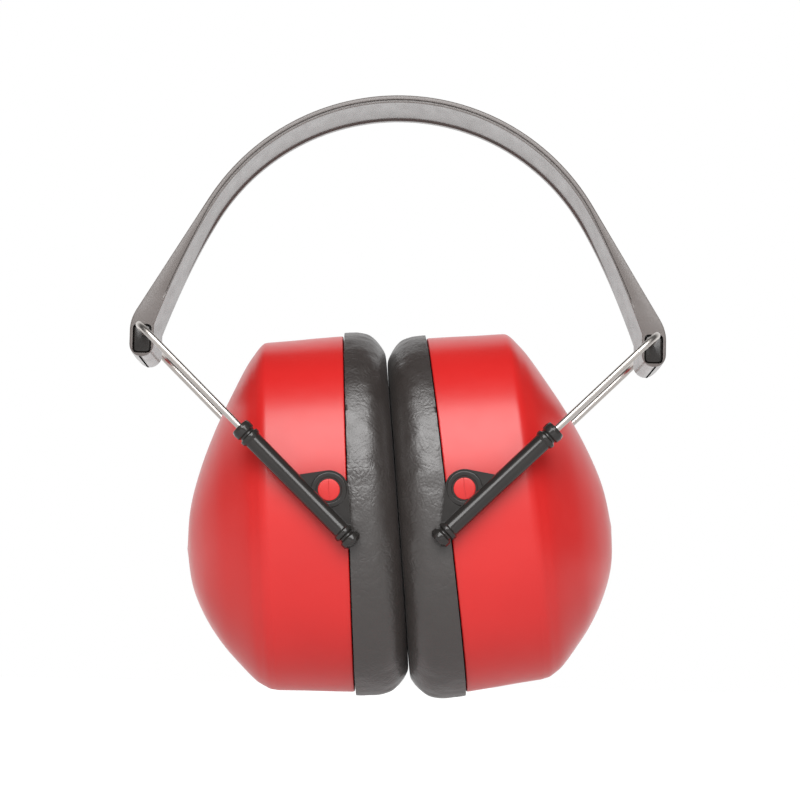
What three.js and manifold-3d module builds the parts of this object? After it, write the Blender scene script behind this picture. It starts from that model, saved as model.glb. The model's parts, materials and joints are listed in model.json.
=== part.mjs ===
// Folding hearing-protection earmuffs: a moulded headband, two sprung-wire yokes, and two deep ear cups.
// Millimetres, +Z up, -Y to the front. The origin is the underside of the band's crown, on the centre line.
// At rest the yokes are folded in, so the two ear cushions almost meet.
import * as THREE from "three";
import { mergeVertices } from "three/addons/utils/BufferGeometryUtils.js";
import Module from "manifold-3d";

const wasm = await Module();
wasm.setup();

const rad = THREE.MathUtils.degToRad;
const GAP = 0.3; // clearance between neighbouring pieces

// Headband: an arc, then a straight leg at each side that thickens towards its hinge socket.
const BAND_WIDTH = 34;
const BAND_INNER_R = 65.1;
const BAND_CROWN_T = 2.2;
const BAND_ARC = 58.7; // degrees from the crown to where the leg leaves the arc
const LEG_LENGTH = 40;
const LEG_TAPER = 17; // how far the leg's inside runs on along the tangent before it bends to the socket
const SOCKET_OUTER_X = 80;
const SOCKET_INNER_X = 72.8;
const SOCKET_FLOOR_Z = -78.2;
const SOCKET_CORNER = 3.6;
// Window for the hinge block: how far it reaches from the fold axis inwards, outwards, up and down.
const SLOT = { inwards: 2, outwards: 3.6, up: 2.6, down: 6.1, corner: 1.5 };

// Wire yoke: a U of round wire whose crossbar is the fold axis.
const FOLD_X = 75.5;
const FOLD_Z = -71.1;
const ARM_ANGLE = 44.35; // degrees below the horizontal, pointing inwards
const WIRE_R = 1;
const WIRE_LEG = 70;
const WIRE_BEND_R = 8;

// Ear cup: rim oval, wall, and a dome whose peak sits below the middle.
const CUP_HALF_HEIGHT = 53.5;
const CUP_ASPECT = 0.766; // width over height
const OVAL_POWER = 2.4;
const CUP_WALL = 2.5;
const WALL_DEPTH = 24;
const DOME_DEPTH = 49.2;
const DOME_DROP = 9;
// The dome outside the wall: radius and depth, then how much of an inset each of the two takes.
const DOME_POINTS = [
  [52.3, WALL_DEPTH, 1, 0],
  [47.3, 29.4, 1, 0.3],
  [32.4, 39.3, 0.8, 0.7],
  [12, 47.6, 0.3, 1],
  [0, DOME_DEPTH, 0, 1],
];
const WALL_BULGE = { inset: 0.6, depth: 12 }; // the wall draws in by this much at this depth
const LEFT_ROLL = 3.1; // degrees that each cup's top leans away from the middle at rest
const RIGHT_ROLL = -7.6;

// Sliders on the wire: a blind tube with a collar at each end and an eyelet for the cup's stud.
const CUP_SIDE_Y = CUP_HALF_HEIGHT * CUP_ASPECT;
const TUBE_START = 42.5; // from the fold axis, along the arm, with the slider right down
const LEFT_RAISED = 0; // how far up the wire each side's sliders sit at rest
const RIGHT_RAISED = 1.7;
const TUBE_LENGTH = 47.4;
const TUBE_R = 2.45;
const TUBE_BORE_R = WIRE_R + GAP;
const COLLAR_R = 3.1;
const COLLAR_LENGTH = 3.6;
const COLLAR_CHAMFER = 0.7;
const TUBE_FLOOR = 2.2;
const TUBE_Y = CUP_SIDE_Y + 3.8;
const STUD_ALONG = 73.6;
const STUD_OFFSET = 5.6;
const EYELET_R = 5.7;
const EYELET_T = 2.7;
const EYELET_GAP = 0.5; // between the eyelet and the cup's side
const EYELET_SEAT = TUBE_Y - CUP_SIDE_Y - EYELET_GAP; // from the tube's axis to the eyelet's inner face
const WEB_T = 1.5;
const STUD_R = 2.8;
const STUD_HEAD_R = 3.1;
const STUD_HEAD_T = 0.9;
const STUD_FOOT_R = 3.6;
const STUD_FOOT_T = 1.2;
const STUD_TO_RIM = 5.2;
const STUD_RISE = 4.75; // stud above the cup's middle

// Cushion, its retaining plate and the acoustic foam.
const CUSHION_T = 13.45;
const CUSHION_WEDGE = Math.tan(rad(2.25)); // thinner at the top, where the cups lean together
const CUSHION_OUTER = CUP_HALF_HEIGHT + 0.7;
const EAR_HALF_HEIGHT = 30;
const CUSHION_EDGE = 7;
const PLATE_T = 1.2;
const FOAM_FRONT = 12;
const FOAM_SHOULDER = 22;
const FOAM_BACK = 36;
const FOAM_BACK_R = 27;

const material = (color, roughness, metalness = 0) => () =>
  new THREE.MeshStandardMaterial({ color, roughness, metalness });
const bandPlastic = material(0x4a4646, 0.35);
const blackPlastic = material(0x171717, 0.3);
const redPlastic = material(0xd81f26, 0.35);
const steelWire = material(0xd8d6d2, 0.2, 1);
const cushionVinyl = material(0x2e2b29, 0.6);
const foamGrey = material(0x2a2a2c, 0.95);

// Boolean operands: closed meshes whose shared vertices are merged.
function solid(geometry) {
  const bare = geometry.clone();
  bare.deleteAttribute("normal");
  bare.deleteAttribute("uv");
  const merged = mergeVertices(bare, 1e-3);
  return new wasm.Manifold(
    new wasm.Mesh({
      numProp: 3,
      vertProperties: merged.attributes.position.array,
      triVerts: new Uint32Array(merged.index.array),
    }),
  );
}

function geometryOf(manifold) {
  const mesh = manifold.getMesh();
  const geometry = new THREE.BufferGeometry();
  geometry.setAttribute("position", new THREE.BufferAttribute(mesh.vertProperties, 3));
  geometry.setIndex(new THREE.BufferAttribute(mesh.triVerts, 1));
  return geometry;
}

const joined = (...parts) => geometryOf(parts.map(solid).reduce((a, b) => a.add(b)));
const cut = (body, ...tools) => geometryOf(tools.map(solid).reduce((a, b) => a.subtract(b), solid(body)));

function piece(name, geometry, makeMaterial) {
  const mesh = new THREE.Mesh(geometry, makeMaterial());
  mesh.name = name;
  return mesh;
}

// An outline drawn in X and Z, extruded along Y from one value to another.
function slab(shape, fromY, toY, curveSegments = 6) {
  const options = { depth: toY - fromY, bevelEnabled: false, curveSegments };
  return new THREE.ExtrudeGeometry(shape, options).rotateX(Math.PI / 2).translate(0, toY, 0);
}

// A turned piece whose axis runs along Y: profile points are (radius, y).
const turnedY = (points, segments) => new THREE.LatheGeometry(points, segments);

const point = (x, y) => new THREE.Vector2(x, y);

// The headband's outline, drawn as its right half and mirrored.
function bandHalf() {
  const outerR = BAND_INNER_R + BAND_CROWN_T;
  const lean = rad(90 - BAND_ARC);
  const along = point(Math.sin(lean), -Math.cos(lean));
  const leave = point(Math.cos(lean), Math.sin(lean));
  const knee = leave.clone().multiplyScalar(outerR).addScaledVector(along, LEG_LENGTH);
  knee.y -= BAND_INNER_R;
  const half = new THREE.Path();
  half.absarc(0, -BAND_INNER_R, outerR, Math.PI / 2, lean, true);
  half.lineTo(knee.x, knee.y);
  half.quadraticCurveTo(SOCKET_OUTER_X, knee.y - 3, SOCKET_OUTER_X, knee.y - 6);
  const c = SOCKET_CORNER;
  half.lineTo(SOCKET_OUTER_X, SOCKET_FLOOR_Z + c);
  half.quadraticCurveTo(SOCKET_OUTER_X, SOCKET_FLOOR_Z, SOCKET_OUTER_X - c, SOCKET_FLOOR_Z);
  half.quadraticCurveTo(SOCKET_INNER_X, SOCKET_FLOOR_Z, SOCKET_INNER_X, SOCKET_FLOOR_Z + c);
  half.lineTo(SOCKET_INNER_X, FOLD_Z + SLOT.up);
  const inner = leave.clone().multiplyScalar(BAND_INNER_R);
  inner.y -= BAND_INNER_R;
  const bend = inner.clone().addScaledVector(along, LEG_TAPER);
  half.quadraticCurveTo(bend.x, bend.y, inner.x, inner.y);
  half.absarc(0, -BAND_INNER_R, BAND_INNER_R, lean, Math.PI / 2, false);
  return half.getPoints(12);
}

function headbandGeometry() {
  const half = bandHalf();
  const mirrored = half
    .slice(1, -1)
    .reverse()
    .map((p) => point(-p.x, p.y));
  const outline = new THREE.Shape([...half, ...mirrored]);
  const band = slab(outline, -BAND_WIDTH / 2, BAND_WIDTH / 2);
  const windows = [-1, 1].map((side) =>
    slab(slotOutline(0, side), -BAND_WIDTH, BAND_WIDTH, 4).translate(side * FOLD_X, 0, FOLD_Z),
  );
  return cut(band, ...windows);
}

// The hinge window about the fold axis, shrunk by an inset. Side is 1 on the right and -1 on the left.
function slotOutline(inset, side) {
  const reach = [side * (-SLOT.inwards + inset), side * (SLOT.outwards - inset)];
  const left = Math.min(...reach);
  const right = Math.max(...reach);
  const top = SLOT.up - inset;
  const bottom = -SLOT.down + inset;
  const c = SLOT.corner;
  const shape = new THREE.Shape();
  shape.moveTo(left + c, bottom);
  shape.lineTo(right - c, bottom);
  shape.quadraticCurveTo(right, bottom, right, bottom + c);
  shape.lineTo(right, top - c);
  shape.quadraticCurveTo(right, top, right - c, top);
  shape.lineTo(left + c, top);
  shape.quadraticCurveTo(left, top, left, top - c);
  shape.lineTo(left, bottom + c);
  shape.quadraticCurveTo(left, bottom, left + c, bottom);
  return shape;
}

// The left side's block that holds the crossbar in the window, with a bore for the wire.
function hingeBlockGeometry() {
  const half = BAND_WIDTH / 2 - 0.5;
  const outline = slotOutline(GAP, -1);
  const bore = new THREE.Path();
  bore.absarc(0, 0, WIRE_R + GAP, 0, 2 * Math.PI, true);
  outline.holes.push(bore);
  return slab(outline, -half, half, 6);
}

// The wire runs down the front leg, over the crossbar and down the rear leg; legs point along -Z here.
function yokeGeometry() {
  const r = WIRE_BEND_R;
  const y = TUBE_Y;
  const v = (py, pz) => new THREE.Vector3(0, py, pz);
  const path = new THREE.CurvePath();
  path.add(new THREE.LineCurve3(v(-y, -WIRE_LEG), v(-y, -r)));
  path.add(new THREE.QuadraticBezierCurve3(v(-y, -r), v(-y, 0), v(-y + r, 0)));
  path.add(new THREE.LineCurve3(v(-y + r, 0), v(y - r, 0)));
  path.add(new THREE.QuadraticBezierCurve3(v(y - r, 0), v(y, 0), v(y, -r)));
  path.add(new THREE.LineCurve3(v(y, -r), v(y, -WIRE_LEG)));
  const section = new THREE.Shape();
  section.absarc(0, 0, WIRE_R, 0, 2 * Math.PI, false);
  return new THREE.ExtrudeGeometry(section, { extrudePath: path, steps: 54, curveSegments: 4 });
}

// One slider: its tube along -Z from the top collar, its eyelet on the +X side, and its outer face to -Y.
function sliderGeometry() {
  const collarEnd = TUBE_LENGTH - COLLAR_LENGTH;
  const tube = turnedY(
    [
      point(0, 0),
      point(COLLAR_R - COLLAR_CHAMFER, 0),
      point(COLLAR_R, COLLAR_CHAMFER),
      point(COLLAR_R, COLLAR_LENGTH - COLLAR_CHAMFER),
      point(TUBE_R, COLLAR_LENGTH),
      point(TUBE_R, collarEnd),
      point(COLLAR_R, collarEnd + COLLAR_CHAMFER),
      point(COLLAR_R, TUBE_LENGTH - COLLAR_CHAMFER),
      point(COLLAR_R - COLLAR_CHAMFER, TUBE_LENGTH),
      point(TUBE_BORE_R, TUBE_LENGTH),
      point(TUBE_BORE_R, TUBE_FLOOR),
      point(0, TUBE_FLOOR),
    ],
    16,
  )
    .rotateX(Math.PI / 2)
    .translate(0, 0, -TUBE_LENGTH);
  const eyeX = STUD_OFFSET;
  const eyeZ = TUBE_START - STUD_ALONG;
  const web = new THREE.Shape();
  web.moveTo(0, eyeZ + 10);
  web.lineTo(TUBE_R, eyeZ + 8);
  web.lineTo(eyeX + 2.6, eyeZ + EYELET_R - 0.6);
  web.lineTo(eyeX + EYELET_R - 0.2, eyeZ);
  web.lineTo(eyeX + 4, eyeZ - 4);
  web.lineTo(TUBE_R, eyeZ - 12);
  web.lineTo(0, eyeZ - 12);
  web.closePath();
  const eyelet = new THREE.Shape();
  eyelet.absarc(eyeX, eyeZ, EYELET_R, 0, 2 * Math.PI, false);
  const hole = new THREE.Shape();
  hole.absarc(eyeX, eyeZ, STUD_R + GAP, 0, 2 * Math.PI, false);
  const body = joined(
    tube,
    slab(web, EYELET_SEAT - WEB_T, EYELET_SEAT, 6),
    slab(eyelet, EYELET_SEAT - EYELET_T, EYELET_SEAT, 10),
  );
  const bored = cut(body, slab(hole, EYELET_SEAT - EYELET_T - 1, EYELET_SEAT + 1, 8));
  const bore = turnedY([point(0, 0), point(TUBE_BORE_R, 0), point(TUBE_BORE_R, 1), point(0, 1)], 16)
    .scale(1, TUBE_LENGTH - TUBE_FLOOR + 1, 1)
    .rotateX(Math.PI / 2)
    .translate(0, 0, -TUBE_LENGTH + TUBE_FLOOR);
  return cut(bored, bore);
}

// A rivet-like stud along Y: its head outside the eyelet, its foot inside the cup's wall.
function studGeometry() {
  const headBase = CUP_SIDE_Y + EYELET_GAP + EYELET_T + GAP;
  const footTop = CUP_SIDE_Y - CUP_WALL - 1;
  return turnedY(
    [
      point(0, -headBase - STUD_HEAD_T),
      point(STUD_HEAD_R - 0.4, -headBase - STUD_HEAD_T),
      point(STUD_HEAD_R, -headBase - STUD_HEAD_T + 0.4),
      point(STUD_HEAD_R, -headBase),
      point(STUD_R, -headBase),
      point(STUD_R, -footTop),
      point(STUD_FOOT_R, -footTop),
      point(STUD_FOOT_R, -footTop + STUD_FOOT_T),
      point(0, -footTop + STUD_FOOT_T),
    ],
    16,
  );
}

// Turns a lathe about +Y into an oval body whose depth runs along -X, squashed in Y and squared off a little.
function ovalBody(points, segments, drop = () => 0) {
  const geometry = new THREE.LatheGeometry(points, segments).rotateZ(Math.PI / 2);
  const p = geometry.attributes.position;
  for (let i = 0; i < p.count; i++) {
    const angle = Math.atan2(p.getY(i), p.getZ(i));
    const share = (part) => Math.abs(part) ** OVAL_POWER;
    const squared = (share(Math.cos(angle)) + share(Math.sin(angle))) ** (-1 / OVAL_POWER);
    const y = p.getY(i) * squared * CUP_ASPECT;
    const z = p.getZ(i) * squared - drop(-p.getX(i));
    p.setXYZ(i, p.getX(i), y, z);
  }
  return geometry;
}

const domeDrop = (depth) => DOME_DROP * Math.max(0, (depth - WALL_DEPTH) / (DOME_DEPTH - WALL_DEPTH));

// The cup's radius against depth, inset by a wall thickness, from the rim to the peak.
function cupProfile(inset, steps) {
  const rim = point(CUP_HALF_HEIGHT - inset, 0);
  const wall = point(CUP_HALF_HEIGHT - inset - WALL_BULGE.inset, WALL_BULGE.depth);
  const dome = new THREE.SplineCurve(
    DOME_POINTS.map(([r, depth, takeR, takeDepth]) => point(r - inset * takeR, depth - inset * takeDepth)),
  );
  return [rim, wall, ...dome.getPoints(steps)];
}

function cupShellGeometry() {
  const outer = cupProfile(0, 9);
  const inner = cupProfile(CUP_WALL, 7);
  const shell = ovalBody([...inner.reverse(), ...outer], 40, domeDrop);
  const hole = turnedY(
    [point(0, -60), point(STUD_R + GAP, -60), point(STUD_R + GAP, 60), point(0, 60)],
    16,
  ).translate(-STUD_TO_RIM, 0, STUD_RISE);
  return cut(shell, hole);
}

function cushionGeometry() {
  const e = CUSHION_EDGE;
  const t = CUSHION_T;
  const low = GAP;
  const arc = (cx, cy, from, to) =>
    Array.from({ length: 5 }, (_, i) => {
      const a = rad(from + ((to - from) * i) / 4);
      return point(cx + e * Math.cos(a), cy - e * Math.sin(a));
    });
  const profile = [
    point(EAR_HALF_HEIGHT + 1, -low),
    point(CUSHION_OUTER - 0.6, -low),
    ...arc(CUSHION_OUTER - e, -t + e, 0, 90),
    ...arc(EAR_HALF_HEIGHT + e, -t + e, 90, 180),
    point(EAR_HALF_HEIGHT + 1, -low),
  ];
  const ring = ovalBody(profile.reverse(), 40);
  const p = ring.attributes.position;
  for (let i = 0; i < p.count; i++) {
    const share = p.getX(i) / t;
    p.setX(i, p.getX(i) - share * CUSHION_WEDGE * p.getZ(i));
  }
  return ring;
}

function plateGeometry() {
  const outer = CUP_HALF_HEIGHT - CUP_WALL - GAP - 0.2;
  const inner = EAR_HALF_HEIGHT + 1;
  const profile = [
    point(inner, 0),
    point(outer, 0),
    point(outer, PLATE_T),
    point(inner, PLATE_T),
    point(inner, 0),
  ];
  return ovalBody(profile, 40);
}

function foamGeometry() {
  const room = CUP_WALL + 1.2;
  const widest = CUP_HALF_HEIGHT - room;
  const profile = [
    point(0, FOAM_FRONT),
    point(widest - 2, FOAM_FRONT),
    point(widest - 2.5, FOAM_SHOULDER),
    point(FOAM_BACK_R, FOAM_BACK),
    point(0, FOAM_BACK),
  ];
  return ovalBody(profile, 28, domeDrop);
}

// One side, built as the left one: the fold axis, the arm below it, and the cup hung from the studs.
function side(name, mirror, roll, raised) {
  const group = new THREE.Group();
  group.scale.x = mirror;
  const fold = new THREE.Group();
  fold.position.set(-FOLD_X, 0, FOLD_Z);
  group.add(fold);
  fold.add(piece(`${name}_hinge_block`, hingeBlockGeometry(), blackPlastic));
  const arm = new THREE.Group();
  arm.rotation.y = -rad(90 - ARM_ANGLE);
  fold.add(arm);
  arm.add(piece(`${name}_wire_yoke`, yokeGeometry(), steelWire));
  for (const [end, turn] of [["front", 1], ["rear", -1]]) {
    const slider = piece(`${name}_${end}_slider`, sliderGeometry(), blackPlastic);
    slider.position.set(0, -turn * TUBE_Y, raised - TUBE_START);
    slider.scale.y = turn;
    arm.add(slider);
  }
  const cup = new THREE.Group();
  const down = rad(ARM_ANGLE);
  const along = STUD_ALONG - raised;
  cup.position.set(
    -FOLD_X + along * Math.cos(down) + STUD_OFFSET * Math.sin(down),
    0,
    FOLD_Z - along * Math.sin(down) + STUD_OFFSET * Math.cos(down),
  );
  cup.rotation.y = -rad(roll);
  group.add(cup);
  for (const [end, turn] of [["front", 1], ["rear", -1]]) {
    const stud = piece(`${name}_${end}_stud`, studGeometry(), redPlastic);
    stud.scale.y = turn;
    cup.add(stud);
  }
  const rim = new THREE.Group();
  rim.position.set(STUD_TO_RIM, 0, -STUD_RISE);
  cup.add(rim);
  rim.add(piece(`${name}_cup_shell`, cupShellGeometry(), redPlastic));
  rim.add(piece(`${name}_cushion`, cushionGeometry(), cushionVinyl));
  rim.add(piece(`${name}_retaining_plate`, plateGeometry(), blackPlastic));
  rim.add(piece(`${name}_acoustic_foam`, foamGeometry(), foamGrey));
  return group;
}

const earmuffs = new THREE.Group();
earmuffs.add(piece("headband", headbandGeometry(), bandPlastic));
earmuffs.add(side("left", 1, LEFT_ROLL, LEFT_RAISED));
earmuffs.add(side("right", -1, RIGHT_ROLL, RIGHT_RAISED));

export default earmuffs;
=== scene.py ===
"""Looks for the folding earmuffs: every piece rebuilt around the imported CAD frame, with procedural finishes.

Pieces are drawn in millimetres as the left side, each in the frame of its joint, and mirrored for the right.
"""
import json
import math

import bmesh
import bpy
from mathutils import Matrix, Vector, noise


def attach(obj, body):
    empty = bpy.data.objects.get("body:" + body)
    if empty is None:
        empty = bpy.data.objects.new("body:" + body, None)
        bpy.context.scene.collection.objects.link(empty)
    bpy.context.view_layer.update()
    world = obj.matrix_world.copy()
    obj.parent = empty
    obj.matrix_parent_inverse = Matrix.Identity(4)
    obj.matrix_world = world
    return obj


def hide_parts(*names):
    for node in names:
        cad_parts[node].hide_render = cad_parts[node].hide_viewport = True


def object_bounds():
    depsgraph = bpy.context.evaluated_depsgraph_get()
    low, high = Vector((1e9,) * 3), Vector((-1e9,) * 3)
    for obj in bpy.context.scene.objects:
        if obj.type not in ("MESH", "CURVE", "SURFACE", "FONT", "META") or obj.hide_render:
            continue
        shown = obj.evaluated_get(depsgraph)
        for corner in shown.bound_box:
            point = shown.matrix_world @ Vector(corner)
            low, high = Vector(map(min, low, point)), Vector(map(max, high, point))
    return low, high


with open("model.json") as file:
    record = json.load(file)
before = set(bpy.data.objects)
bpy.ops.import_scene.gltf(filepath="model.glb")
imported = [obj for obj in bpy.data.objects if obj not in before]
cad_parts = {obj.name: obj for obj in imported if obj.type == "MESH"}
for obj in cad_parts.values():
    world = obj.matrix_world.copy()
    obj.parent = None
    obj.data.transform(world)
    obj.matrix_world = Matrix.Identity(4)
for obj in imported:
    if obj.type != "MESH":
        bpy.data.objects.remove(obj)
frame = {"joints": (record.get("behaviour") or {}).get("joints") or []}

cad_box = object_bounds()

# ---------------------------------------------------------------- driving dimensions, in millimetres
MM = 0.001
SHARP = 35  # in degrees: a piece's edges sharper than this are shaded hard
BAND_HALF_WIDTH = 17.0
BAND_INNER_R = 65.1
BAND_CROWN_T = 2.2
BAND_ARC = math.radians(58.7)
LEG_LENGTH = 40.0
LEG_TAPER = 17.0
LIP = 2.6  # the width of the lips along both long edges of the band's underside
BAND_CROWN = 0.3  # how far the band's outside rises in the middle of its width
BAND_FLOOR_T = 1.35  # the band's thickness between its lips
RECESS_DEPTH = 0.6
GROOVE_DEPTH = 0.6  # the dark line along both edges of the band
GROOVE_AT = (0.95, 0.9, 0.5, 0.4)  # the groove's four corners, measured out from the band's inside
FLUSH = 0.02  # a recess or groove this shallow isn't seen, and keeps every section's points alike
SOCKET_OUTER_X = 80.0
SOCKET_INNER_X = 72.8
SOCKET_FLOOR_Z = -78.2
SOCKET_CORNER = 3.6
SLOT = {"inwards": 2.0, "outwards": 3.6, "up": 2.6, "down": 6.1, "corner": 1.5}
INSERT_GAP = 0.3  # between the hinge insert and its window
INSERT_HALF_WIDTH = 16.5

ARM_LEAN = math.radians(90 - 44.35)
WIRE_R = 1.0
WIRE_LEG = 70.0
WIRE_BEND_R = 8.0

HALF_HEIGHT = 53.5
ASPECT = 0.766
OVAL_POWER = 2.4
SHELL_T = 2.5
WALL_DEPTH = 24.0
DOME_DEPTH = 49.2
DOME_DROP = 9.0  # how far below the cup's middle the dome peaks
RIM = (0.05, 1.2)  # the depths of the rim's face and of the end of its rounding
WALL_TOP_R = 52.3
WALL_POINTS = [(0.0, 1.2), (0.35, 8), (0.8, 15)]  # (how far the wall has come in, depth)
# from shoulder to peak: (radius, depth, share of an inset taken off the radius, share taken off the depth)
DOME_POINTS = [
    (50.6, 26.2, 1.0, 0.2), (47.3, 29.4, 1.0, 0.3), (40.6, 34.1, 0.9, 0.5), (32.4, 39.3, 0.8, 0.7),
    (22.5, 44.2, 0.5, 0.9), (12, 47.7, 0.3, 1.0), (0, DOME_DEPTH, 0.0, 1.0),
]
ROLL = {"left": math.radians(3.1), "right": math.radians(-7.6)}
HALF_WIDTH = HALF_HEIGHT * ASPECT

TUBE_START = 42.5
RAISED = {"left": 0.0, "right": 1.7}  # how far up the wire each side's sliders sit at rest
TUBE_LENGTH = 47.4
BORE_GAP = 0.3
BORE_DEPTH = 44.0  # room for the wire's end with the slider at the top of its travel
TUBE_R = 2.6
COLLAR_R = 3.1
# the slider's outside as (radius, distance): its collars from the open end, and its foot from the closed end
TUBE_TOP = [
    (COLLAR_R - 0.35, 0), (COLLAR_R, 1.1), (COLLAR_R - 0.1, 2.6), (TUBE_R - 0.15, 3.1), (TUBE_R - 0.15, 3.6),
    (TUBE_R + 0.55, 3.9), (TUBE_R + 0.5, 4.9), (TUBE_R, 5.6),
]
TUBE_FOOT = [
    (TUBE_R, 5.4), (TUBE_R + 0.5, 4.9), (TUBE_R + 0.5, 3.9), (TUBE_R - 0.3, 3.4), (TUBE_R - 0.3, 2.9),
    (COLLAR_R, 2.4), (COLLAR_R, 0.9), (COLLAR_R - 1.0, 0), (0, 0),
]
TUBE_Y = HALF_WIDTH + 3.8
STUD_ALONG = 73.6
STUD_OFFSET = 5.6
EYELET_R = 5.7
EYELET_T = 2.7
EYELET_GAP = 0.5
STUD_R = 2.8
STUD_HEAD_R = 3.2
STUD_HOLE_R = STUD_R + 0.3
STUD_LINE = 0.11  # half the width of the fine groove across the stud's head
WEB_FACES = (2.55, 0.1)  # the web's outer and inner faces, measured out from the eyelet's inner face
STUD_TO_RIM = 5.2
STUD_RISE = 4.75

CUSHION_T = 13.45
CUSHION_WEDGE = math.tan(math.radians(2.25))  # the cushion is thicker at its foot
CUSHION_BASE = 3.2  # the padding starts behind the plate's face, which then flattens it
CUSHION_OVER = 1.25  # and is drawn this much too thick, to be flattened against its neighbour
CUSHION_OUTER = HALF_HEIGHT + 0.7
CUSHION_CROWN = 1.03  # how far the soft skin swells past the plain cushion, until the two meet
EAR_HALF_HEIGHT = 30.0
CUSHION_EDGE = 9.5  # the rounding of the cushion's inner edge
SHOULDER_DEPTH = 4.9  # the slope from the cushion's outer wall to its flat face
SHOULDER_WIDTH = 8.5
LIP_WIDTH = 3.2  # the thin lip between cushion and cup
PLATE_T = 1.2
FOAM_FRONT = 12.0
FOAM_BACK = 36.0

# ---------------------------------------------------------------- the padding's simulation
SIM_SCALE = 10  # the padding is simulated this much larger, where the cloth solver is steady
SIM_VOXEL = 1.8
SIM_FRAMES = 20
SIM_PRESSURE = 3.0
SWELL = 1.5  # the furthest that any point of the padding may move
EASE = 0.45  # the skin rounds into the flat over this height, with no hard line

# ---------------------------------------------------------------- colours, as a darker and a lighter tone
TONES = {
    "red_plastic": ((0.61, 0.016, 0.015), (0.66, 0.020, 0.018)),
    "black_plastic": ((0.018, 0.016, 0.015), (0.027, 0.024, 0.022)),
    "band_plastic": ((0.130, 0.112, 0.105), (0.165, 0.145, 0.136)),
    "steel_wire": ((0.52, 0.485, 0.455), (0.62, 0.585, 0.555)),
    "cushion_vinyl": ((0.028, 0.022, 0.020), (0.040, 0.033, 0.030)),
    "acoustic_foam": ((0.012, 0.012, 0.014), (0.075, 0.075, 0.08)),
    "pale_floor": ((0.50, 0.50, 0.50), (0.54, 0.54, 0.54)),
}

# ---------------------------------------------------------------- stage, in metres
UNFOLDED_DROP = 0.030  # the cups hang this much lower when the yokes are folded out
FLOOR_REACH = 30.0
FLOOR_GLOW = (0.34, 1.0)  # the light that the floor gives the object, from in front and from behind
FLOOR_GLOW_Y = (0.08, 0.45)  # where the one turns into the other
FLOOR_SEEN = 1.0  # the floor's light as the camera sees it: a clean white
# the room's light from in front (0) to behind (1): a lit front, dark sides and a white sweep behind
ROOM_LIGHT = [(0.0, 0.62), (1.0, 1.0), (0.24, 0.34), (0.35, 0.08), (0.62, 0.09), (0.82, 1.0)]
SOFTBOX_PLACE = (0.0, -0.93, 0.44)
SOFTBOX_AIM = (0, 0, -0.11)
SOFTBOX_SIZE = (0.95, 0.66)
SOFTBOX_WATTS = 11.4
VIEW_CENTRE = (0.00101, 0.0, -0.08817)
VIEW_WIDTH = 0.2424  # of what the camera sees at the object's distance
CAMERA_DISTANCE = 0.95
CAMERA_CLEARANCE = 0.004  # how far above the object's lowest place the camera stands
CAMERA_ROLL = math.radians(1.214)

joint_at = {j["name"]: j.get("pos_m") for j in frame["joints"]}
SIDES = {"left": 1, "right": -1}


# ---------------------------------------------------------------- frames that the pieces are drawn in
def fold_frame(side):
    """Millimetres about the fold axis, drawn as the left side and mirrored for the right."""
    x, _, z = joint_at["left_fold"]
    return Matrix.Diagonal((SIDES[side], 1, 1, 1)) @ Matrix.Translation((x, 0, z)) @ Matrix.Scale(MM, 4)


def arm_frame(side):
    """As fold_frame, turned so that the wire's legs point along -Z."""
    return fold_frame(side) @ Matrix.Rotation(-ARM_LEAN, 4, "Y")


def stud_frame(side):
    """Millimetres about the stud axis, leaning with the cup."""
    x, _, z = joint_at[f"{side}_swivel"]
    placed = Matrix.Translation((x * SIDES[side], 0, z)) @ Matrix.Rotation(-ROLL[side], 4, "Y")
    return Matrix.Diagonal((SIDES[side], 1, 1, 1)) @ placed @ Matrix.Scale(MM, 4)


def rim_frame(side):
    """Millimetres about the middle of the cup's rim: +X towards the head, the cup's depth along -X."""
    return stud_frame(side) @ Matrix.Translation((STUD_TO_RIM, 0, -STUD_RISE))


# ---------------------------------------------------------------- mesh helpers
def fillet(points, radius, steps=5, closed=True):
    """A 2-D outline with its corners rounded; radius is one value, or one for each point."""
    count = len(points)
    radii = radius if isinstance(radius, (list, tuple)) else [radius] * count
    out = []
    for i, corner in enumerate(points):
        p = Vector(corner)
        if radii[i] <= 0 or (not closed and i in (0, count - 1)):
            out.append(p)
            continue
        to_last = Vector(points[i - 1]) - p
        to_next = Vector(points[(i + 1) % count]) - p
        half_angle = to_last.angle(to_next) / 2
        reach = min(radii[i] / math.tan(half_angle), 0.49 * to_last.length, 0.49 * to_next.length)
        start = p + to_last.normalized() * reach
        end = p + to_next.normalized() * reach
        for k in range(steps + 1):
            t = k / steps
            out.append(start * (1 - t) ** 2 + p * (2 * t * (1 - t)) + end * t * t)
    return out


def loft(rings, wrap_rings=False, cap=False):
    """Quads between equal rings; wrap_rings joins the last ring to the first, cap fills both ends."""
    count = len(rings[0])
    verts = [tuple(p) for ring in rings for p in ring]
    faces = []
    for i in range(len(rings) if wrap_rings else len(rings) - 1):
        a, b = i * count, ((i + 1) % len(rings)) * count
        faces += [(a + k, a + (k + 1) % count, b + (k + 1) % count, b + k) for k in range(count)]
    if cap:
        last = (len(rings) - 1) * count
        faces.append(tuple(reversed(range(count))))
        faces.append(tuple(last + k for k in range(count)))
    return verts, faces


def lathe(profile, segments=48):
    """Turns (radius, height) points about Z. A profile with its ends off the axis is closed on itself."""
    rings = []
    for k in range(segments):
        a = 2 * math.pi * k / segments
        rings.append([(r * math.cos(a), r * math.sin(a), h) for r, h in profile])
    on_axis = abs(profile[0][0]) < 1e-6 and abs(profile[-1][0]) < 1e-6
    verts, faces = loft(rings, wrap_rings=True)
    if on_axis:
        count = len(profile)
        faces = [f for f in faces if {f[0] % count, f[1] % count} != {0, count - 1}]
    return verts, faces


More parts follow.
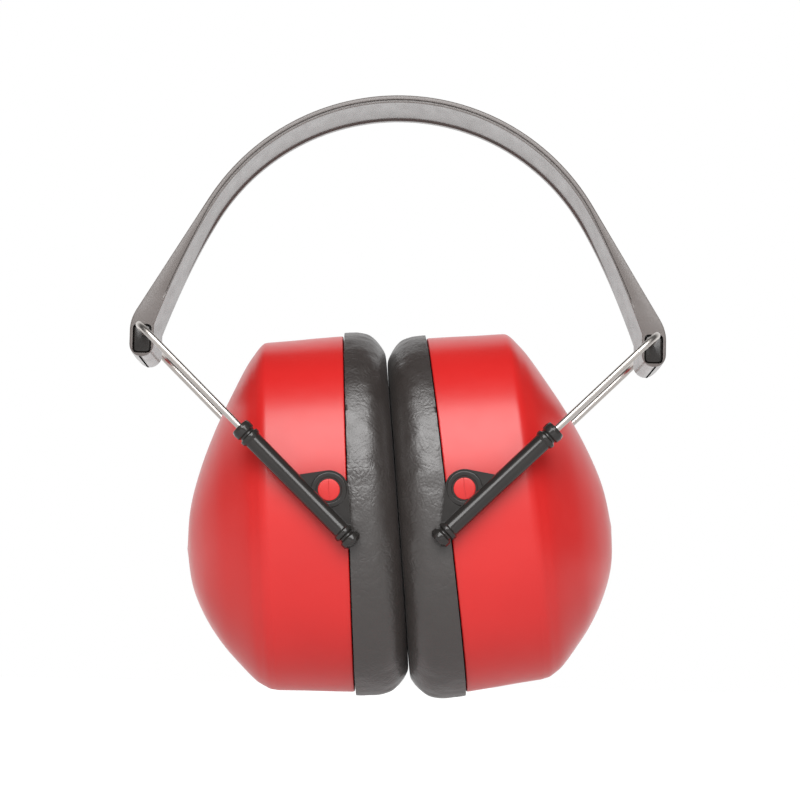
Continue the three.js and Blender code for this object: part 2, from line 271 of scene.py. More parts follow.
def oval(profile, segments, drop=None, wedge=0.0):
    """Turns (radius, depth) points into a body with the ear cup's outline, its depth along -X."""
    verts, faces = lathe(profile, segments)
    placed = []
    for x, y, depth in verts:
        r, a = math.hypot(x, y), math.atan2(y, x)
        square = (abs(math.cos(a)) ** OVAL_POWER + abs(math.sin(a)) ** OVAL_POWER) ** (-1 / OVAL_POWER)
        up = r * square * math.cos(a)
        across = r * square * math.sin(a) * ASPECT
        lean = wedge * up * (-depth / CUSHION_T)
        placed.append((-depth - lean, across, up - (drop(depth) if drop else 0.0)))
    return placed, faces


def prism(outline, low, high, bevel=0.3, steps=3):
    """A 2-D outline in X and Z, extruded along Y, with its long edges rounded."""
    turns = [math.pi / 2 * k / steps for k in range(steps, -1, -1)]
    stack = [(low + bevel * (1 - math.sin(a)), bevel * (1 - math.cos(a))) for a in turns]
    stack += [(low + high - y, inset) for y, inset in reversed(stack)]
    drawn = []
    for y, inset in stack:
        ring = []
        for i, p in enumerate(outline):
            before, after = Vector(outline[i - 1]), Vector(outline[(i + 1) % len(outline)])
            run = (after - before).normalized()
            normal = Vector((run.y, -run.x))
            q = Vector(p) - normal * inset
            ring.append((q.x, y, q.y))
        drawn.append(ring)
    return loft(drawn, cap=True)


def sweep(points, radius):
    """A round bar along a path that lies square to X, with rounded ends."""
    sides, side_axis = 24, Vector((1, 0, 0))
    rings = []

    def ring(centre, tangent, r):
        other = tangent.cross(side_axis).normalized()
        turn = [2 * math.pi * k / sides for k in range(sides)]
        return [tuple(centre + (side_axis * math.cos(a) + other * math.sin(a)) * r) for a in turn]

    for i, p in enumerate(points):
        tangent = (points[min(i + 1, len(points) - 1)] - points[max(i - 1, 0)]).normalized()
        rings.append(ring(p, tangent, radius))
    for end, inner in ((0, 1), (-1, -2)):
        tangent = (points[end] - points[inner]).normalized()
        travel = (points[1] - points[0]).normalized() if end == 0 else tangent
        for k in (1, 2, 3):
            a = math.pi / 2 * k / 3.2
            extra = ring(points[end] + tangent * radius * 0.6 * math.sin(a), travel, radius * math.cos(a))
            rings.insert(0, extra) if end == 0 else rings.append(extra)
    return loft(rings, cap=True)


def moved(part, matrix):
    """The part's vertices moved by a matrix, and its faces."""
    verts, faces = part
    return [tuple(matrix @ Vector(v)) for v in verts], faces


def joined(*parts):
    """Several parts as one."""
    verts, faces = [], []
    for v, f in parts:
        base = len(verts)
        verts += list(v)
        faces += [tuple(base + i for i in face) for face in f]
    return verts, faces


def new_object(name, verts, faces):
    """A Blender object in the scene, with a mesh of these vertices and faces."""
    mesh = bpy.data.meshes.new(name)
    mesh.from_pydata(verts, [], faces)
    obj = bpy.data.objects.new(name, mesh)
    bpy.context.scene.collection.objects.link(obj)
    return obj


def face_outwards(mesh, weld=False):
    """Turns every face outwards; weld first merges the points that fall together."""
    built = bmesh.new()
    built.from_mesh(mesh)
    if weld:
        bmesh.ops.remove_doubles(built, verts=built.verts, dist=1e-6)
        bmesh.ops.dissolve_degenerate(built, edges=built.edges, dist=1e-7)
    bmesh.ops.recalc_face_normals(built, faces=built.faces)
    built.to_mesh(mesh)
    built.free()


def shade(mesh, sharp):
    """Smooth shading, with edges sharper than this many degrees left hard."""
    mesh.polygons.foreach_set("use_smooth", [True] * len(mesh.polygons))
    mesh.set_sharp_from_angle(angle=math.radians(sharp))


def piece(name, part, matrix, body, slot, stands_for, sharp=SHARP):
    """Makes one named Blender object from a part drawn in its own frame, and ties it to the CAD model."""
    obj = new_object(name, *moved(part, matrix))
    face_outwards(obj.data, weld=True)
    shade(obj.data, sharp)
    obj.data.materials.append(FINISH[slot])
    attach(obj, body)
    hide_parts(*stands_for)
    return obj


def apply_modifiers(obj):
    """Bakes the object's modifiers into its mesh."""
    graph = bpy.context.evaluated_depsgraph_get()
    graph.update()
    made = bpy.data.meshes.new_from_object(obj.evaluated_get(graph))
    obj.modifiers.clear()
    obj.data = made


def cut_away(obj, part, matrix):
    """Subtracts a closed part from a piece."""
    cutter = new_object("cutter", *moved(part, matrix))
    face_outwards(cutter.data)
    carve = obj.modifiers.new("carve", "BOOLEAN")
    carve.operation, carve.solver, carve.object = "DIFFERENCE", "EXACT", cutter
    apply_modifiers(obj)
    bpy.data.objects.remove(cutter)
    shade(obj.data, SHARP)


# ---------------------------------------------------------------- finishes
class Finish:
    """A Principled material with a few helpers for building its node network."""

    def __init__(self, name, roughness, **sockets):
        self.tones = TONES[name]
        self.material = bpy.data.materials.new(name)
        self.material.use_nodes = True
        self.nodes = self.material.node_tree.nodes
        self.links = self.material.node_tree.links
        self.shader = self.nodes["Principled BSDF"]
        self.shader.inputs["Roughness"].default_value = roughness
        for socket, value in sockets.items():
            self.shader.inputs[socket].default_value = value
        self.place = self.nodes.new("ShaderNodeTexCoord").outputs["Object"]

    def stretched(self, scale):
        node = self.nodes.new("ShaderNodeMapping")
        node.inputs["Scale"].default_value = scale
        self.links.new(self.place, node.inputs["Vector"])
        return node.outputs["Vector"]

    def noise(self, scale, detail=4.0, vector=None):
        node = self.nodes.new("ShaderNodeTexNoise")
        node.inputs["Scale"].default_value = scale
        node.inputs["Detail"].default_value = detail
        self.links.new(vector or self.place, node.inputs["Vector"])
        return node.outputs["Fac"]

    def cells(self, scale, vector, feature="DISTANCE_TO_EDGE"):
        node = self.nodes.new("ShaderNodeTexVoronoi")
        node.feature = feature
        node.inputs["Scale"].default_value = scale
        self.links.new(vector, node.inputs["Vector"])
        return node.outputs["Distance"]

    def warped(self, scale, amount):
        """The place, pushed about by a noise, so that cells and streaks don't look regular."""
        node = self.nodes.new("ShaderNodeTexNoise")
        node.inputs["Scale"].default_value = scale
        self.links.new(self.place, node.inputs["Vector"])
        scaled = self.nodes.new("ShaderNodeVectorMath")
        scaled.operation = "SCALE"
        scaled.inputs["Scale"].default_value = amount
        self.links.new(node.outputs["Color"], scaled.inputs[0])
        added = self.nodes.new("ShaderNodeVectorMath")
        added.operation = "ADD"
        self.links.new(self.place, added.inputs[0])
        self.links.new(scaled.outputs["Vector"], added.inputs[1])
        return added.outputs["Vector"]

    def remap(self, value, low, high, to_low, to_high):
        node = self.nodes.new("ShaderNodeMapRange")
        limits = {"From Min": low, "From Max": high, "To Min": to_low, "To Max": to_high}
        for socket, number in limits.items():
            node.inputs[socket].default_value = number
        self.links.new(value, node.inputs["Value"])
        return node.outputs["Result"]

    def math(self, operation, a, b):
        node = self.nodes.new("ShaderNodeMath")
        node.operation = operation
        for socket, value in zip(node.inputs, (a, b)):
            if isinstance(value, (int, float)):
                socket.default_value = value
            else:
                self.links.new(value, socket)
        return node.outputs["Value"]

    def colour(self, share):
        """The base colour, between the finish's two tones by a share that varies over the surface."""
        node = self.nodes.new("ShaderNodeMix")
        node.data_type = "RGBA"
        sockets = [s for s in node.inputs if s.type == "RGBA"]
        for socket, tone in zip(sockets, self.tones):
            socket.default_value = (*tone, 1.0)
        self.links.new(share, node.inputs["Factor"])
        mixed = next(s for s in node.outputs if s.type == "RGBA")
        self.links.new(mixed, self.shader.inputs["Base Color"])

    def roughness(self, output):
        self.links.new(output, self.shader.inputs["Roughness"])

    def bump(self, *layers):
        """Each layer is (height output, depth in millimetres); they add up."""
        normal = None
        for height, depth in layers:
            node = self.nodes.new("ShaderNodeBump")
            node.inputs["Strength"].default_value = 1.0
            node.inputs["Distance"].default_value = depth * MM
            self.links.new(height, node.inputs["Height"])
            if normal:
                self.links.new(normal, node.inputs["Normal"])
            normal = node.outputs["Normal"]
        self.links.new(normal, self.shader.inputs["Normal"])


def red_plastic():
    f = Finish("red_plastic", 0.3, **{"IOR": 1.5, "Coat Weight": 0.06, "Coat Roughness": 0.22})
    broad = f.noise(28, detail=3)
    f.colour(f.remap(broad, 0.3, 0.7, 0, 1))
    f.roughness(f.remap(f.noise(240, detail=3), 0.3, 0.7, 0.29, 0.33))
    f.bump((f.noise(700, detail=1), 0.0025), (f.noise(45, detail=1), 0.03))
    return f.material


def black_plastic():
    f = Finish("black_plastic", 0.18, **{"IOR": 1.5})
    f.colour(f.noise(90, detail=3))
    f.roughness(f.remap(f.noise(300, detail=3), 0.3, 0.7, 0.15, 0.22))
    f.bump((f.noise(900, detail=2), 0.003), (f.noise(160, detail=2), 0.02))
    return f.material


def band_plastic():
    f = Finish("band_plastic", 0.34, **{"IOR": 1.5})
    f.colour(f.noise(35, detail=4))
    scuffs = f.noise(260, detail=3, vector=f.stretched((1, 0.3, 1)))
    f.roughness(f.remap(scuffs, 0.3, 0.7, 0.22, 0.29))
    f.bump((f.noise(50, detail=1), 0.012))
    return f.material


def steel_wire():
    f = Finish("steel_wire", 0.14, **{"Metallic": 1.0})
    f.colour(f.noise(150, detail=5))
    streaks = f.noise(500, detail=2, vector=f.stretched((0.12, 1, 0.12)))
    f.roughness(f.remap(streaks, 0.3, 0.7, 0.27, 0.36))
    return f.material


def cushion_vinyl():
    f = Finish("cushion_vinyl", 0.5,
               **{"IOR": 1.48, "Specular IOR Level": 1.0, "Sheen Weight": 0.05, "Sheen Roughness": 0.4})
    grain = f.cells(1250, f.warped(500, 0.0006), "F1")
    creases = f.cells(520, f.warped(150, 0.006))
    where = f.remap(f.noise(60, detail=2), 0.35, 0.65, 0.25, 1.0)
    fine = f.remap(creases, 0.0, 0.25, 0.0, 1.0)
    f.colour(f.noise(70, detail=5))
    f.roughness(f.remap(f.noise(300, detail=3), 0.3, 0.7, 0.33, 0.41))
    f.bump((f.math("MULTIPLY", fine, where), 0.06), (grain, 0.03), (f.noise(150, detail=3), 0.12))
    return f.material


def acoustic_foam():
    f = Finish("acoustic_foam", 0.95)
    pores = f.cells(700, f.warped(400, 0.001), "F1")
    # painted shade: the colour turns to the darker tone in the pore pits, where the bump is hollow
    f.colour(f.remap(pores, 0.1, 0.6, 0, 1))
    f.roughness(f.remap(pores, 0, 1, 0.9, 1.0))
    f.bump((pores, 0.6))
    return f.material


FINISH = {  # by the name of the slot
    "red_plastic": red_plastic(),
    "black_plastic": black_plastic(),
    "band_plastic": band_plastic(),
    "wire": steel_wire(),
    "cushion_vinyl": cushion_vinyl(),
    "foam": acoustic_foam(),
}


# ---------------------------------------------------------------- headband
def bezier(a, b, c, steps):
    """A quadratic curve from a to c, drawn towards b."""
    a, b, c = Vector(a), Vector(b), Vector(c)
    out = []
    for k in range(steps + 1):
        t = k / steps
        out.append(a * (1 - t) ** 2 + b * (2 * t * (1 - t)) + c * t * t)
    return out


def band_half():
    """Stations down one half as (outer point, inner point), from the crown to the socket's foot.

    Also the number of the station where the arc ends, and of the one where the leg does.
    """
    outer_r = BAND_INNER_R + BAND_CROWN_T
    middle = Vector((0, -BAND_INNER_R))
    stations = []
    arc_steps, leg_steps, foot_steps = 30, 22, 8
    for k in range(arc_steps):
        a = BAND_ARC * k / arc_steps
        way = Vector((math.sin(a), math.cos(a)))
        stations.append((middle + way * outer_r, middle + way * BAND_INNER_R))
    way = Vector((math.sin(BAND_ARC), math.cos(BAND_ARC)))
    along = Vector((math.cos(BAND_ARC), -math.sin(BAND_ARC)))
    outer_start, inner_start = middle + way * outer_r, middle + way * BAND_INNER_R
    knee = outer_start + along * LEG_LENGTH
    fold_z = joint_at["left_fold"][2] / MM
    outer_leg = [outer_start.lerp(knee, k / leg_steps) for k in range(leg_steps)]
    outer_leg += bezier(knee, (SOCKET_OUTER_X, knee.y - 3), (SOCKET_OUTER_X, knee.y - 6), 6)
    socket_top = (SOCKET_INNER_X, fold_z + SLOT["up"])
    inner_leg = bezier(inner_start, inner_start + along * LEG_TAPER, socket_top, len(outer_leg) - 1)
    stations += list(zip(outer_leg, inner_leg))
    lower = SOCKET_FLOOR_Z + SOCKET_CORNER
    for k in range(1, 4):
        t = k / 3
        stations.append((
            Vector((SOCKET_OUTER_X, outer_leg[-1].y)).lerp(Vector((SOCKET_OUTER_X, lower)), t),
            Vector(socket_top).lerp(Vector((SOCKET_INNER_X, lower)), t),
        ))
    centre_x = (SOCKET_OUTER_X + SOCKET_INNER_X) / 2
    half = (SOCKET_OUTER_X - SOCKET_INNER_X) / 2
    for k in range(1, foot_steps + 1):
        a = math.pi / 2 * min(k / foot_steps, 0.97)
        z = lower - SOCKET_CORNER * math.sin(a)
        reach = half * math.cos(a)
        stations.append((Vector((centre_x + reach, z)), Vector((centre_x - reach, z))))
    return stations, arc_steps, arc_steps + leg_steps


def band_section(outer, inner, recess, groove, side):
    """One closed section of the band: crowned outside, recessed inside between two lips, grooved edges."""
    t = (inner - outer).length
    depth = (inner - outer).normalized()
    w = BAND_HALF_WIDTH
    crown = BAND_CROWN
    corner = min(0.55, t * 0.3)
    inside = w - LIP
    g = [t - at for at in GROOVE_AT]
    right_edge = [(w, 0), (w, g[0]), (w - groove, g[1]), (w - groove, g[2]), (w, g[3]), (w, t)]
    left_edge = [(-y, d) for y, d in reversed(right_edge)]
    outline = left_edge + [(-w / 2, -crown * 0.75), (0, -crown), (w / 2, -crown * 0.75)] + right_edge
    outline += [(inside, t), (inside - 0.5, t - recess), (-inside + 0.5, t - recess), (-inside, t)]
    soft = min(0.3, recess * 0.3)
    edge = [0.22, 0.08, 0.05, 0.05, 0.08, corner]
    radii = edge + [0, 0, 0] + edge[::-1] + [soft] * 4
    rounded = fillet(outline, radii, steps=4)
    ring = []
    for y, d in rounded:
        p = outer + depth * d
        ring.append((side * p.x, y, p.y))
    return ring


def headband():
    stations, arc_end, leg_end = band_half()

    def recess(i):
        """The recess's depth at a station: full along the arc, and easing out down the leg."""
        outer, inner = stations[i]
        share = min(1, max(0, (leg_end - 1 - i) / (leg_end - arc_end - 5)))
        deepest = min((inner - outer).length - BAND_FLOOR_T, RECESS_DEPTH)
        return max(FLUSH, deepest * share * share * (3 - 2 * share))

    def half(side):
        return [band_section(outer, inner, recess(i), GROOVE_DEPTH if i < leg_end else FLUSH, side)
                for i, (outer, inner) in enumerate(stations)]

    rings = half(-1)[:0:-1] + half(1)
    obj = piece("headband_moulding", loft(rings, cap=True), Matrix.Scale(MM, 4), "headband", "band_plastic",
                ("headband",))
    beyond = BAND_HALF_WIDTH + 2
    for side in SIDES:
        cut_away(obj, prism(slot_outline(0), -beyond, beyond, 0.01, 1), fold_frame(side))


def slot_outline(inset):
    """The hinge window about the fold axis, as on the left side, shrunk all round by an inset."""
    left, right = -SLOT["outwards"] + inset, SLOT["inwards"] - inset
    bottom, top = -SLOT["down"] + inset, SLOT["up"] - inset
    return fillet([(left, bottom), (right, bottom), (right, top), (left, top)], SLOT["corner"], steps=6)


def hinge_block(side):
    block = prism(slot_outline(INSERT_GAP), -INSERT_HALF_WIDTH, INSERT_HALF_WIDTH, 0.5, 4)
    piece(f"{side}_hinge_insert", block, fold_frame(side), "headband", "black_plastic",
          (f"{side}_hinge_block",))


# ---------------------------------------------------------------- wire yoke and its sliders
def wire_yoke(side):
    """A U of wire: its crossbar on the fold axis, its legs along -Z."""
    r, y = WIRE_BEND_R, TUBE_Y
    steps = 14
    leg = [Vector((0, -y, -WIRE_LEG + (WIRE_LEG - r) * k / steps)) for k in range(steps)]
    bend = [Vector((0, p.x, p.y)) for p in bezier((-y, -r), (-y, 0), (-y + r, 0), 10)]
    bar = [Vector((0, -y + r + (2 * y - 2 * r) * k / steps, 0)) for k in range(1, steps)]
    half = leg + bend
    path = half + bar + [Vector((0, -p.y, p.z)) for p in reversed(half)]
    piece(f"{side}_yoke_wire", sweep(path, WIRE_R), arm_frame(side), f"{side}_yoke", "wire",
          (f"{side}_wire_yoke",))


def circle(x, z, radius):
    turns = [2 * math.pi * k / 48 for k in range(48)]
    return [(x + radius * math.cos(a), z + radius * math.sin(a)) for a in turns]


def slider_tube():
    """The blind tube with its collars, along -Z from the top collar's face."""
    bore = WIRE_R + BORE_GAP
    outline = [(bore, -BORE_DEPTH), (bore, 0)]
    outline += [(r, -distance) for r, distance in TUBE_TOP]
    outline += [(r, distance - TUBE_LENGTH) for r, distance in TUBE_FOOT]
    profile = fillet(outline, 0.35, steps=4, closed=False)
    profile = [(0.0, -BORE_DEPTH)] + [tuple(p) for p in profile]
    return lathe(profile, 40)


def eyelet_ring():
    """A chamfered ring about the stud's axis, from y = 0 along -Y, with a pocket for the stud's head."""
    hole = STUD_HOLE_R
    pocket = STUD_HEAD_R + 0.35
    pocket_floor = EYELET_T - 1.1
    face = EYELET_T + 0.1
    outline = [(hole, 0), (EYELET_R, 0), (EYELET_R, face - 0.8), (EYELET_R - 0.7, face), (pocket + 0.3, face),
               (pocket, face - 0.35), (pocket, pocket_floor), (hole, pocket_floor)]
    radii = [0.2, 0.3, 0.35, 0.35, 0.2, 0.1, 0, 0]
    ring = lathe([tuple(p) for p in fillet(outline, radii, steps=4)], 64)
    return moved(ring, Matrix.Rotation(math.radians(90), 4, "X"))


def slider(side, end):
    """One slider: tube, web and eyelet. The rear one is the front one mirrored in Y."""
    turn = 1 if end == "front" else -1
    seat = TUBE_Y - HALF_WIDTH - EYELET_GAP
    eye = Vector((STUD_OFFSET, TUBE_START - STUD_ALONG))
    # the web runs from the tube's middle out to the ring, and round it just inside its edge
    reach = EYELET_R - 0.3
    side_x = TUBE_R - 0.2
    arc = [math.radians(a) for a in range(50, -51, -10)]
    outline = [(0.2, eye.y + 11), (side_x, eye.y + 9)]
    outline += [(eye.x + reach * math.cos(a), eye.y + reach * math.sin(a)) for a in arc]
    outline += [(side_x, eye.y - 12), (0.2, eye.y - 13)]
    radii = [0.4, 4.0] + [0] * len(arc) + [4.0, 0.4]
    web = prism(fillet(outline, radii, steps=6), seat - WEB_FACES[0], seat - WEB_FACES[1], 0.25)
    ring = moved(eyelet_ring(), Matrix.Translation((eye.x, seat, eye.y)))
    slide = Matrix.Translation((0, -turn * TUBE_Y, RAISED[side] - TUBE_START))
    place = arm_frame(side) @ slide @ Matrix.Diagonal((1, turn, 1, 1))
    # the wire slides through the tube, so the ring and the web are cut clear of it
    rod = prism(circle(0, 0, WIRE_R + BORE_GAP + 0.15), -BORE_DEPTH, 1, 0.01, 1)
    rod = moved(rod, Matrix.Rotation(math.radians(90), 4, "X"))
    made = {}
    for name, part in (("moulding", slider_tube()), ("eyelet", ring), ("web", web)):
        made[name] = piece(f"{side}_{end}_slider_{name}", part, place, f"{side}_slider_pair", "black_plastic",
                           (f"{side}_{end}_slider",))
    cut_away(made["eyelet"], rod, place)
    cut_away(made["web"], rod, place)
    cut_away(made["web"], prism(circle(eye.x, eye.y, STUD_HOLE_R), seat - 4, seat + 3, 0.01, 1), place)


def stud(side, end):
    """A rivet-like stud: a flat round head flush in the eyelet's pocket, split by one fine groove."""
    turn = 1 if end == "front" else -1
    seat = HALF_WIDTH + EYELET_GAP
    top = seat + EYELET_T + 0.05
    foot = HALF_WIDTH - SHELL_T - 1
    outline = [(0, top), (STUD_HEAD_R, top), (STUD_HEAD_R, top - 0.9), (STUD_R, top - 1.0), (STUD_R, foot),
               (0, foot)]
    profile = [tuple(p) for p in fillet(outline, [0, 0.3, 0.1, 0, 0.2, 0], steps=4, closed=False)]
    turned = moved(lathe(profile, 56), Matrix.Rotation(math.radians(90), 4, "X"))
    place = stud_frame(side) @ Matrix.Diagonal((1, turn, 1, 1))
    obj = piece(f"{side}_{end}_pivot_stud", turned, place, f"{side}_cup", "red_plastic",
                (f"{side}_{end}_stud",))
    groove = [(-STUD_LINE, -4), (STUD_LINE, -4), (STUD_LINE, 4), (-STUD_LINE, 4)]
    cut_away(obj, prism(groove, -top - 1, -top + 0.3, 0.001, 1), place)


# ---------------------------------------------------------------- ear cup
def dome_drop(depth):
    """How far the dome's middle has dropped, at a depth."""
    return DOME_DROP * max(0.0, (depth - WALL_DEPTH) / (DOME_DEPTH - WALL_DEPTH))


def spline(points, steps):
    """A Catmull-Rom curve through 2-D points."""
    pts = [Vector(p) for p in points]
    pts = [pts[0] * 2 - pts[1]] + pts + [pts[-1] * 2 - pts[-2]]
    out = []
    for i in range(1, len(pts) - 2):
        a, b, c, d = pts[i - 1:i + 3]
        for k in range(steps):
            t = k / steps
            out.append(((b * 2) + (c - a) * t + (a * 2 - b * 5 + c * 4 - d) * t * t
                        + (b * 3 - a - c * 3 + d) * t ** 3) * 0.5)
    out.append(pts[-2])
    return out


def cup_profile(inset):
    """(radius, depth) from just inside the rim to the dome's peak."""
    wall_top = WALL_TOP_R - inset
    peaked = [(r - inset * of_r, depth - inset * of_depth) for r, depth, of_r, of_depth in DOME_POINTS]
    dome = spline(peaked, 7)
    shoulder = bezier((wall_top + 0.03, WALL_DEPTH - 1.3), (wall_top - 0.1, WALL_DEPTH + 0.6), dome[0], 7)
    wall = [Vector((HALF_HEIGHT - inset - lean, depth)) for lean, depth in WALL_POINTS]
    return wall + shoulder + dome[1:]


def cup_shell(side):
    outer = cup_profile(0)
    inner = cup_profile(SHELL_T)
    face, end = RIM
    rim_outline = [(HALF_HEIGHT - SHELL_T, end), (HALF_HEIGHT - SHELL_T, face), (HALF_HEIGHT, face),
                   (HALF_HEIGHT, end)]
    rim = fillet(rim_outline, [0, 0.4, 0.5, 0], steps=4, closed=False)
    profile = [tuple(p) for p in list(reversed(inner)) + rim[1:-1] + outer]
    shell = oval(profile, 128, dome_drop)
    piece(f"{side}_cup_moulding", shell, rim_frame(side), f"{side}_cup", "red_plastic",
          (f"{side}_cup_shell",), sharp=40)


def retaining_plate(side):
    """The ring that closes the cup's rim round the ear opening, with a hook that holds the cushion."""
    outer, inner = HALF_HEIGHT - SHELL_T - 0.5, EAR_HALF_HEIGHT + 1
    hook = PLATE_T + 1.6
    outline = [(inner, 0.1), (outer, 0.1), (outer, PLATE_T), (inner + 3, PLATE_T), (inner + 2.2, hook),
               (inner, hook)]
    plate = oval([tuple(p) for p in fillet(outline, 0.4, steps=3)], 96)
    piece(f"{side}_seal_plate", plate, rim_frame(side), f"{side}_cup", "black_plastic",
          (f"{side}_retaining_plate",))


def foam_block(side):
    """The block of open foam inside the cup, its faces roughened."""
    widest = HALF_HEIGHT - SHELL_T - 1.2
    outline = [(0, FOAM_FRONT)] + [(r, FOAM_FRONT) for r in range(3, int(widest - 3), 3)]
    outline += [(widest - 2, FOAM_FRONT), (widest - 2.5, 22), (27, FOAM_BACK), (0, FOAM_BACK)]
    radii = [0] * (len(outline) - 4) + [3, 3, 4, 0]
    profile = [tuple(p) for p in fillet(outline, radii, steps=5, closed=False)]
    verts, faces = oval(profile, 96, dome_drop)
    rough = []
    for v in verts:
        p = Vector(v)
        depth = 0.9 * noise.noise(p * 0.16) + 0.45 * noise.noise(p * 0.55)
        rough.append((p.x + depth, p.y + 0.3 * depth, p.z))
    piece(f"{side}_foam_block", (rough, faces), rim_frame(side), f"{side}_cup", "foam",
          (f"{side}_acoustic_foam",), sharp=80)


def inflated(part, is_pinned):
    """Remeshes a closed part evenly, swells it by cloth simulation, and gives its vertices and faces back."""
    verts, faces = part
    scale = SIM_SCALE * MM
    obj = new_object("padding", [tuple(Vector(v) * scale) for v in verts], faces)
    remesh = obj.modifiers.new("remesh", "REMESH")
    remesh.mode, remesh.voxel_size = "VOXEL", SIM_VOXEL * scale
    even = obj.modifiers.new("even", "SMOOTH")
    even.factor, even.iterations = 0.5, 3
    apply_modifiers(obj)
    start = [v.co.copy() for v in obj.data.vertices]
    pinned = obj.vertex_groups.new(name="pinned")
    pinned.add([i for i, place in enumerate(start) if is_pinned(place / scale)], 1.0, "REPLACE")
    cloth = obj.modifiers.new("swell", "CLOTH")
    cloth.settings.vertex_group_mass = "pinned"
    cloth.settings.use_pressure = True
    cloth.settings.uniform_pressure_force = SIM_PRESSURE
    cloth.settings.effector_weights.gravity = 0
    cloth.point_cache.frame_start, cloth.point_cache.frame_end = 1, SIM_FRAMES
    for number in range(1, SIM_FRAMES + 1):
        bpy.context.scene.frame_set(number)
    apply_modifiers(obj)
    bpy.context.scene.frame_set(1)
    for vertex, place in zip(obj.data.vertices, start):
        move = vertex.co - place
        if move.length > SWELL * scale:
            vertex.co = place + move.normalized() * SWELL * scale
    obj.modifiers.new("soften", "SMOOTH").iterations = 3
    obj.modifiers.new("finer", "SUBSURF").levels = 1
    apply_modifiers(obj)
    out = [tuple(v.co / scale) for v in obj.data.vertices], [tuple(f.vertices) for f in obj.data.polygons]
    bpy.data.objects.remove(obj)
    return out


def wrinkled(place):
    """Shallow creases in the skin, strongest across the rounded edges."""
    p = Vector(place)
    around = math.atan2(p.y / ASPECT, p.z)
    ring = math.hypot(p.y / ASPECT, p.z)
    middle = (CUSHION_OUTER + EAR_HALF_HEIGHT) / 2
    half = (CUSHION_OUTER - EAR_HALF_HEIGHT) / 2
    edge = min(1.0, max(0.0, (abs(ring - middle) / half - 0.35) / 0.5))
    folds = noise.noise(Vector((around * 9.0, p.x * 0.10, 3.1)))
    fine = noise.noise(p * 0.35)
    depth = 0.16 * folds * edge + 0.10 * fine
    out = Vector((0, p.y, p.z)).normalized() * (1 if ring > middle else -1)
    return p + out * depth


def cushion(side):
    """A ring of foam in a soft skin: swelled by simulation, and flat towards its neighbour and its plate."""
    full = CUSHION_T + CUSHION_OVER
    wall_foot = -CUSHION_T * 0.2
    inner, outer = EAR_HALF_HEIGHT + 0.6, CUSHION_OUTER + 0.5
    outline = [(inner + 0.3, CUSHION_BASE), (CUSHION_OUTER + 0.3, CUSHION_BASE), (outer, wall_foot),
               (outer, -full + SHOULDER_DEPTH), (CUSHION_OUTER - SHOULDER_WIDTH, -full - 0.3),
               (inner, -full), (inner, wall_foot)]
    profile = [tuple(p) for p in fillet(outline, [1.0, 0.6, 0, 1.8, 5.0, CUSHION_EDGE, 0], steps=9)]
    skin, faces = inflated(oval(list(reversed(profile)), 120, wedge=CUSHION_WEDGE), lambda p: p.x < 0.8)
    settled = []
    for place in skin:
        p = wrinkled(place)
        reach = CUSHION_T - CUSHION_WEDGE * p.z + CUSHION_CROWN
        over = (p.x - (reach - EASE)) / EASE
        if over > 0:
            p.x = reach - EASE * math.exp(-over)
        p.x = max(p.x, 0.3)
        settled.append(tuple(p))
    lip_outer, lip_inner = CUSHION_OUTER + 0.3, CUSHION_OUTER - LIP_WIDTH
    lip_outline = [(lip_inner, -0.28), (lip_outer, -0.28), (lip_outer, -0.9), (lip_inner, -1.3)]
    lip = oval([tuple(p) for p in fillet(lip_outline, 0.25, steps=4)][::-1], 160)
    obj = piece(f"{side}_ear_cushion", joined((settled, faces), lip), rim_frame(side), f"{side}_cup",
                "cushion_vinyl", (f"{side}_cushion",), sharp=70)


# ---------------------------------------------------------------- stage
def stage():
    """A wide pale floor below the lowest place that the cups reach."""
    low, reach = cad_box[0].z - UNFOLDED_DROP, FLOOR_REACH
    corners = [(-reach, -reach, low), (reach, -reach, low), (reach, reach, low), (-reach, reach, low)]
    floor = new_object("floor", corners, [(0, 1, 2, 3)])
    f = Finish("pale_floor", 0.8, **{"Specular IOR Level": 0.0, "Emission Color": (1, 1, 1, 1)})
    f.colour(f.noise(3))
    seen = f.nodes.new("ShaderNodeLightPath").outputs["Is Camera Ray"]
    way = f.nodes.new("ShaderNodeSeparateXYZ")
    f.links.new(f.place, way.inputs["Vector"])
    glow = f.remap(way.outputs["Y"], *FLOOR_GLOW_Y, *FLOOR_GLOW)
    light = f.math("MAXIMUM", f.math("MULTIPLY", seen, FLOOR_SEEN), glow)
    f.links.new(light, f.shader.inputs["Emission Strength"])
    floor.data.materials.append(f.material)


def softbox():
    data = bpy.data.lights.new("front_softbox", "AREA")
    data.shape = "RECTANGLE"
    data.size, data.size_y = SOFTBOX_SIZE
    data.energy = SOFTBOX_WATTS
    light = bpy.data.objects.new("front_softbox", data)
    light.location = SOFTBOX_PLACE
    light.rotation_mode = "QUATERNION"
    light.rotation_quaternion = (Vector(SOFTBOX_AIM) - Vector(SOFTBOX_PLACE)).to_track_quat("-Z", "Y")
    bpy.context.scene.collection.objects.link(light)


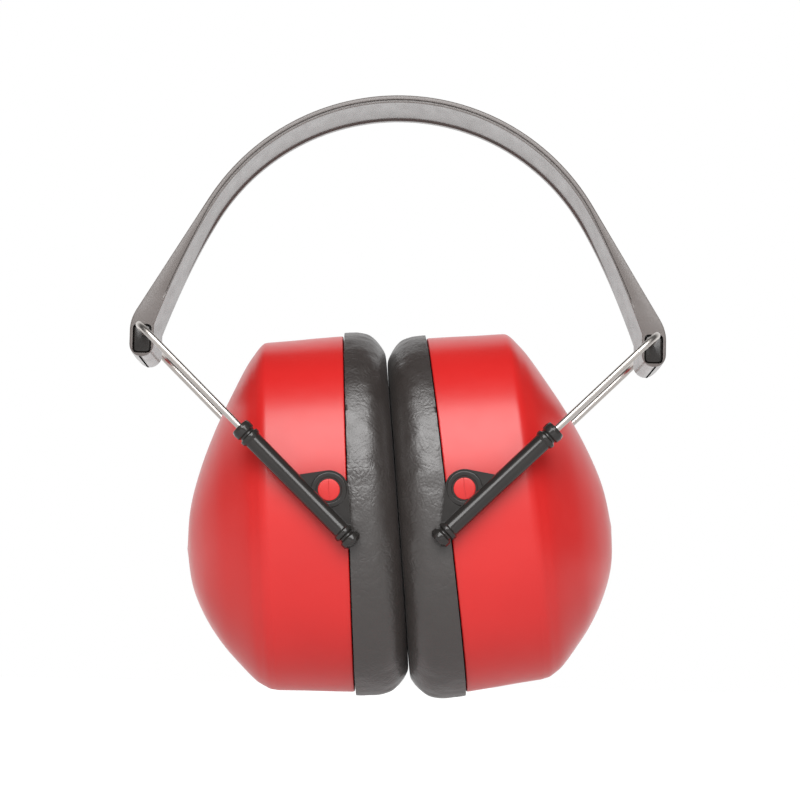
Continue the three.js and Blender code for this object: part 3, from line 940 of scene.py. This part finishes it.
def lights():
    """A white sweep behind, a dimmer room in front, and one wide softbox above the camera."""
    world = bpy.data.worlds.new("studio")
    bpy.context.scene.world = world
    world.use_nodes = True
    nodes, links = world.node_tree.nodes, world.node_tree.links
    nodes["Background"].inputs["Color"].default_value = (1, 1, 1, 1)
    way = nodes.new("ShaderNodeSeparateXYZ")
    links.new(nodes.new("ShaderNodeTexCoord").outputs["Generated"], way.inputs["Vector"])
    from_front = nodes.new("ShaderNodeMapRange")
    from_front.inputs["From Min"].default_value = -1
    links.new(way.outputs["Y"], from_front.inputs["Value"])
    room = nodes.new("ShaderNodeValToRGB")
    stops = room.color_ramp.elements
    added = [stops.new(0.5) for _ in ROOM_LIGHT[2:]]
    for stop, (place, light) in zip([stops[0], stops[1]] + added, ROOM_LIGHT):
        stop.color = (light, light, light, 1)
        stop.position = place
    links.new(from_front.outputs["Result"], room.inputs["Fac"])
    seen = nodes.new("ShaderNodeMath")
    seen.operation = "MAXIMUM"
    links.new(nodes.new("ShaderNodeLightPath").outputs["Is Camera Ray"], seen.inputs[0])
    links.new(room.outputs["Color"], seen.inputs[1])
    links.new(seen.outputs["Value"], nodes["Background"].inputs["Strength"])
    softbox()


def camera():
    """In front, level with the object's foot, looking up a little, and rolled to match the photo."""
    centre = Vector(VIEW_CENTRE)
    rise = cad_box[0].z + CAMERA_CLEARANCE - centre.z
    back = math.sqrt(CAMERA_DISTANCE ** 2 - rise ** 2)
    data = bpy.data.cameras.new("camera")
    cam = bpy.data.objects.new("camera", data)
    cam.location = centre + Vector((0, -back, rise))
    cam.rotation_mode = "QUATERNION"
    look = (centre - cam.location).to_track_quat("-Z", "Y")
    cam.rotation_quaternion = look @ Matrix.Rotation(CAMERA_ROLL, 3, "Z").to_quaternion()
    data.lens = data.sensor_width * CAMERA_DISTANCE / VIEW_WIDTH
    data.clip_start, data.clip_end = 0.01, 100
    bpy.context.scene.collection.objects.link(cam)
    bpy.context.scene.camera = cam


headband()
for side in SIDES:
    hinge_block(side)
    wire_yoke(side)
    for end in ("front", "rear"):
        slider(side, end)
        stud(side, end)
    cup_shell(side)
    retaining_plate(side)
    foam_block(side)
    cushion(side)

stage()
lights()
camera()
bpy.context.scene.view_settings.view_transform = "Standard"
